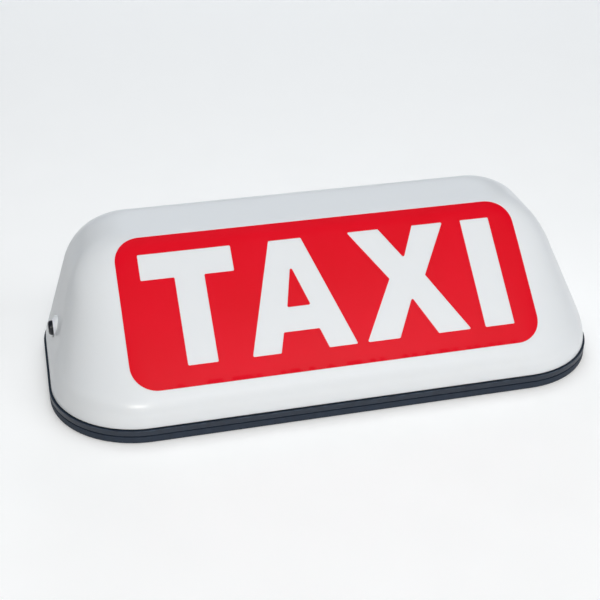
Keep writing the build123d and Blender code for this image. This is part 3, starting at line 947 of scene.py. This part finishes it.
def make_end_screw(side, rot):
    """Pan head with a cross recess, and a threaded shank."""
    node = side + "_screw"
    (place, size), = seats(node, rot)
    top = size.z
    r_head, r_shank = size.x / 2, 1.95
    head_low, dome_low = top - 2.6, top - 1.45  # foot of the head and of its rounded top
    b = Builder(side + "_screw_turned", MATERIALS["black_steel"])
    rows = [(0.5, 0.0), (r_shank - 0.5, 0.1)]
    z = 0.5
    while z < head_low - 4.0:
        rows += [(r_shank - 0.32, z), (r_shank, z + THREAD_PITCH * 0.42),
                 (r_shank, z + THREAD_PITCH * 0.55)]
        z += THREAD_PITCH
    rows += [(r_shank - 0.3, z), (r_shank, z + 0.4), (r_shank, head_low - 0.05),
             (r_head - 0.12, head_low), (r_head, head_low + 0.12), (r_head, dome_low)]
    for k in range(1, 9):
        a = math.pi / 2 * k / 8
        rows.append((r_head - 1.5 * (1 - math.cos(a)), dome_low + 1.45 * math.sin(a)))
    rows.append((0.4, top))
    b.turned(place, rows, 64)
    ob = b.piece(side + "_end_screw", "black_steel", node)
    recess = [(square(2.0, 0.6, 0.1, 16), top - 1.5), (square(3.6, 0.85, 0.15, 16), top - 0.6),
              (square(4.3, 0.95, 0.2, 16), top + 0.3)]
    for turn in (45, 135):
        cutter = Builder("recess")
        cutter.stack(place @ Matrix.Rotation(math.radians(turn), 4, "Z"), recess)
        boolean(ob, cutter.tool(), "DIFFERENCE")
    shade(ob)
    weigh_normals(ob)
    return ob


# ------------------------------------------------------------------ board tracks
TRACK_T = 0.06
RING_IN, RING_OUT = 1.75, 3.1   # bright ring round a screw hole
LIGHT_GAP = 7.4                 # what two lights take out of the track between them
LINK_W = 2.2                    # width of that track
OUTER_X = 70                    # the front board's own screws are further out than this


def make_tracks(name, board, rot, runs, holes, material, slot):
    """Raised tracks under the solder mask, and bright rings round the holes.

    runs are (u, v, length, width) along local X or, with a negative length,
    along local Y, from the board's centre; holes are places on the board.
    """
    (place, _), = seats(board, rot)
    b = Builder(name, material, SOLDER)
    z0, z1 = BOARD_T, BOARD_T + TRACK_T
    for u, v, length, width in runs:
        w, h = (length, width) if length > 0 else (width, -length)
        b.plate(place, w, h, z0, z1, width * 0.4, 0.03, 0, (u, v))
    for p in holes:
        b.stack(place, [(circle(RING_IN), z0), (circle(RING_OUT), z0), (circle(RING_OUT), z1),
                        (circle(RING_IN), z1), (circle(RING_IN), z0)], 1, (p.x, p.y), (False, False))
    return b.piece("base", slot)


def make_front_tracks():
    """Tracks that link the lights in each row, and drop to the resistors."""
    lights = board_places("front_leds", "front_board", ON_FRONT)
    columns = sorted({round(p.x) for p in lights})
    gaps = list(zip(columns, columns[1:]))
    row_v = max(p.y for p in lights)
    runs = [((a + b) / 2, s * row_v, b - a - LIGHT_GAP, LINK_W) for a, b in gaps for s in (-1, 1)]
    runs += [((a + b) / 2 - s * 3.4, s * 4.6, -8.0, 1.4) for a, b in gaps
             if abs(a + b) > 1 for s in (-1, 1)]
    holes = [p for p in board_places("board_screws", "front_board", ON_FRONT) if abs(p.x) > OUTER_X]
    make_tracks("front_tracks", "front_board", ON_FRONT, runs, holes, TRACK_WHITE, "board_white")


def make_rear_tracks():
    """Tracks that link the one row of lights, but for the gaps with a screw in them."""
    columns = sorted(p.x for p in board_places("rear_leds", "rear_board", ON_REAR))
    holes = [p for p in board_places("board_screws", "rear_board", ON_REAR)
             if abs(p.x) < OUTER_X and abs(p.y) < 3]
    runs = [((a + b) / 2, 0.0, b - a - LIGHT_GAP, LINK_W) for a, b in zip(columns, columns[1:])]
    runs = [r for r in runs if all(abs(r[0] - p.x) > r[2] / 2 + 3.5 for p in holes)]
    make_tracks("rear_tracks", "rear_board", ON_REAR, runs, holes, TRACK_WHITE, "board_white")


def make_driver_tracks():
    """Two rails along the board's sides, and short tracks between its parts."""
    runs = [(0.0, -13.0, 52.0, 1.4), (0.0, 14.2, 40.0, 1.4), (1.8, -7.5, 8.0, 1.6),
            (-13.0, 2.0, 12.0, 2.6), (11.0, 1.0, 8.0, 1.8), (-24.0, -9.0, -6.5, 1.4),
            (24.0, -5.0, -15.0, 1.4), (10.4, -3.0, -5.0, 0.5), (-19.0, -5.0, -14.0, 1.8),
            (16.0, -9.0, 12.0, 0.8)]
    holes = board_places("driver_screws", "driver_board", UPRIGHT)
    make_tracks("driver_tracks", "driver_board", UPRIGHT, runs, holes, TRACK_GREEN, "board_green")


# ------------------------------------------------------------------ pieces
for ob, node, slot in ((make_dome(), "dome_cover", "dome_plastic"), (make_film(), "front_film", "film_red")):
    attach(ob, "dome")
    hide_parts(node)
    dress(ob, slot)

EDGES = {
    "base_tray": 0.35, "roof_skirt": 0.45, "magnet_boots": 0.6, "magnet_cups": 0.3, "magnet_discs": 0.3,
    "magnet_washers": 0.12, "cable_grommet": 0.4, "front_brackets": 0.2, "rear_brackets": 0.2,
    "terminal_block": 0.25, "left_washer": 0.2, "right_washer": 0.2, "left_nut": 0.4, "right_nut": 0.4,
}
for node, width in EDGES.items():
    ob = refined(node, width)
    dress(ob, SLOT_OF[node])

make_leds("front_leds", ON_FRONT)
make_leds("rear_leds", ON_REAR)
make_resistors()
make_board("front_board", ON_FRONT, "board_white")
make_board("rear_board", ON_REAR, "board_white")
make_board("driver_board", UPRIGHT, "board_green")
make_chip()
make_capacitor()
make_inductor()
make_solder()
make_end_screw("left", OUT_LEFT)
make_end_screw("right", OUT_RIGHT)
make_front_tracks()
make_rear_tracks()
make_driver_tracks()

for node, ob in frame["nodes"].items():
    dress(ob, SLOT_OF[node])


# ------------------------------------------------------------------ stage
def floor_material():
    """Matt white paper that glows far from the sign, where the lights don't reach.

    Beyond the left end its colour turns dark grey for bounced light only, which paints shade onto the sign's
    left end, as a black flag out of view would.
    """
    m = surface("floor_paper", srgb(251, 251, 251), srgb(253, 253, 253), (0.6, 0.7), 30, 0.05, 0.05)
    tree = m.node_tree
    paper = tree.nodes["Principled BSDF"]
    paper.inputs["Emission Color"].default_value = (0.93, 0.95, 0.97, 1.0)
    where = tree.nodes.new("ShaderNodeTexCoord").outputs["Object"]
    radius = tree.nodes.new("ShaderNodeVectorMath")
    radius.operation = "LENGTH"
    tree.links.new(where, radius.inputs[0])
    glow = add_range(tree, radius.outputs["Value"], (0.4, 3.6), (0.05, 0.9), smooth=True)
    tree.links.new(glow, paper.inputs["Emission Strength"])

    split = tree.nodes.new("ShaderNodeSeparateXYZ")
    tree.links.new(where, split.inputs["Vector"])
    # painted shade: past the left end the floor is dark grey to bounced light only, so less light reaches
    # the sign's left end
    painted_shade_zone = add_range(tree, split.outputs["X"], (-0.13, -0.20))
    bounce = tree.nodes.new("ShaderNodeLightPath").outputs["Is Diffuse Ray"]
    lit = paper.inputs["Base Color"].links[0].from_socket
    bounce_shade_colour = add_mix(tree, add_product(tree, painted_shade_zone, bounce), lit, srgb(40, 40, 42))
    tree.links.new(bounce_shade_colour, paper.inputs["Base Color"])
    return m


def make_floor(half=7.0, drop=0.3 * MM):
    me = bpy.data.meshes.new("floor")
    me.from_pydata([(x * half, y * half, -drop) for x, y in ((-1, -1), (1, -1), (1, 1), (-1, 1))],
                   [], [(0, 1, 2, 3)])
    me.materials.append(floor_material())
    new_object("floor", me)


def area_light(name, loc, target, size, power, colour=(1, 1, 1), glossy=True):
    """Rectangular soft box aimed at target; a light that isn't glossy has no reflection."""
    light = bpy.data.lights.new(name, "AREA")
    light.shape = "RECTANGLE"
    light.size, light.size_y = size
    light.energy = power
    light.color = colour
    ob = new_object(name, light)
    ob.location = loc
    ob.rotation_euler = (Vector(target) - Vector(loc)).to_track_quat("-Z", "Y").to_euler()
    ob.visible_glossy = glossy


def make_world():
    """The sky lights the sign dimly, and shows as a pale backdrop."""
    world = bpy.data.worlds.new("studio")
    bpy.context.scene.world = world
    world.use_nodes = True
    tree = world.node_tree
    sky = tree.nodes["Background"]
    sky.inputs["Color"].default_value = (0.88, 0.94, 1.0, 1.0)
    sky.inputs["Strength"].default_value = 0.12
    backdrop = tree.nodes.new("ShaderNodeBackground")
    backdrop.inputs["Color"].default_value = (0.93, 0.94, 0.95, 1.0)
    path = tree.nodes.new("ShaderNodeLightPath")
    choose = tree.nodes.new("ShaderNodeMixShader")
    tree.links.new(path.outputs["Is Camera Ray"], choose.inputs["Fac"])
    tree.links.new(sky.outputs["Background"], choose.inputs[1])
    tree.links.new(backdrop.outputs["Background"], choose.inputs[2])
    tree.links.new(choose.outputs["Shader"], tree.nodes["World Output"].inputs["Surface"])
    bpy.context.scene.view_settings.view_transform = "Standard"


make_floor()
AIM = (0, 0, 0.03)              # a little above the floor, inside the sign
area_light("key", (-0.40, -2.45, 2.10), AIM, (1.6, 1.2), 31.0, (1.0, 0.99, 0.975), False)
area_light("side", (1.70, -1.40, 1.60), AIM, (1.6, 1.2), 10.0, (0.97, 0.985, 1.0), False)
area_light("top", (0.0, 0.80, 3.60), (0, 0, 0), (3.2, 2.8), 50.0, (0.91, 0.955, 1.0), False)
area_light("card", (0.36, -1.35, 2.08), AIM, (1.3, 0.6), 7.0, (1.0, 0.97, 0.95))
area_light("glint", (-0.62, -2.05, 1.50), AIM, (0.6, 0.5), 16.0, (1.0, 0.96, 0.88))
area_light("rear", (0.75, 2.90, 1.80), AIM, (1.8, 1.0), 4.0, (0.78, 0.89, 1.0))
area_light("back", (0.50, 2.90, 0.55), AIM, (1.8, 0.9), 26.0, (0.93, 0.97, 1.0), False)
make_world()

# ------------------------------------------------------------------ camera
YAW, ELEVATION, ROLL = 0.24583, 0.53519, 0.00774
LENS = 68.83


def make_camera():
    """Camera turned by yaw, elevation and roll, with the sign's origin where it sees it."""
    level = math.cos(ELEVATION)
    forward = Vector((math.sin(YAW) * level, math.cos(YAW) * level, -math.sin(ELEVATION)))
    right = Vector((math.cos(YAW), -math.sin(YAW), 0.0))
    up = right.cross(forward)
    x = right * math.cos(ROLL) + up * math.sin(ROLL)
    y = up * math.cos(ROLL) - right * math.sin(ROLL)
    # the origin in the camera's right, up and forward directions, in sign lengths
    origin = Vector((0.02803, -0.07818, 2.18516)) * LENGTH * MM
    data = bpy.data.cameras.new("camera")
    data.lens = LENS
    data.sensor_width = 36.0
    camera = new_object("camera", data)
    turn = Matrix((x, y, -forward)).transposed().to_4x4()
    camera.matrix_world = Matrix.Translation(-(x * origin.x + y * origin.y + forward * origin.z)) @ turn
    bpy.context.scene.camera = camera


make_camera()

bpy.context.view_layer.update()
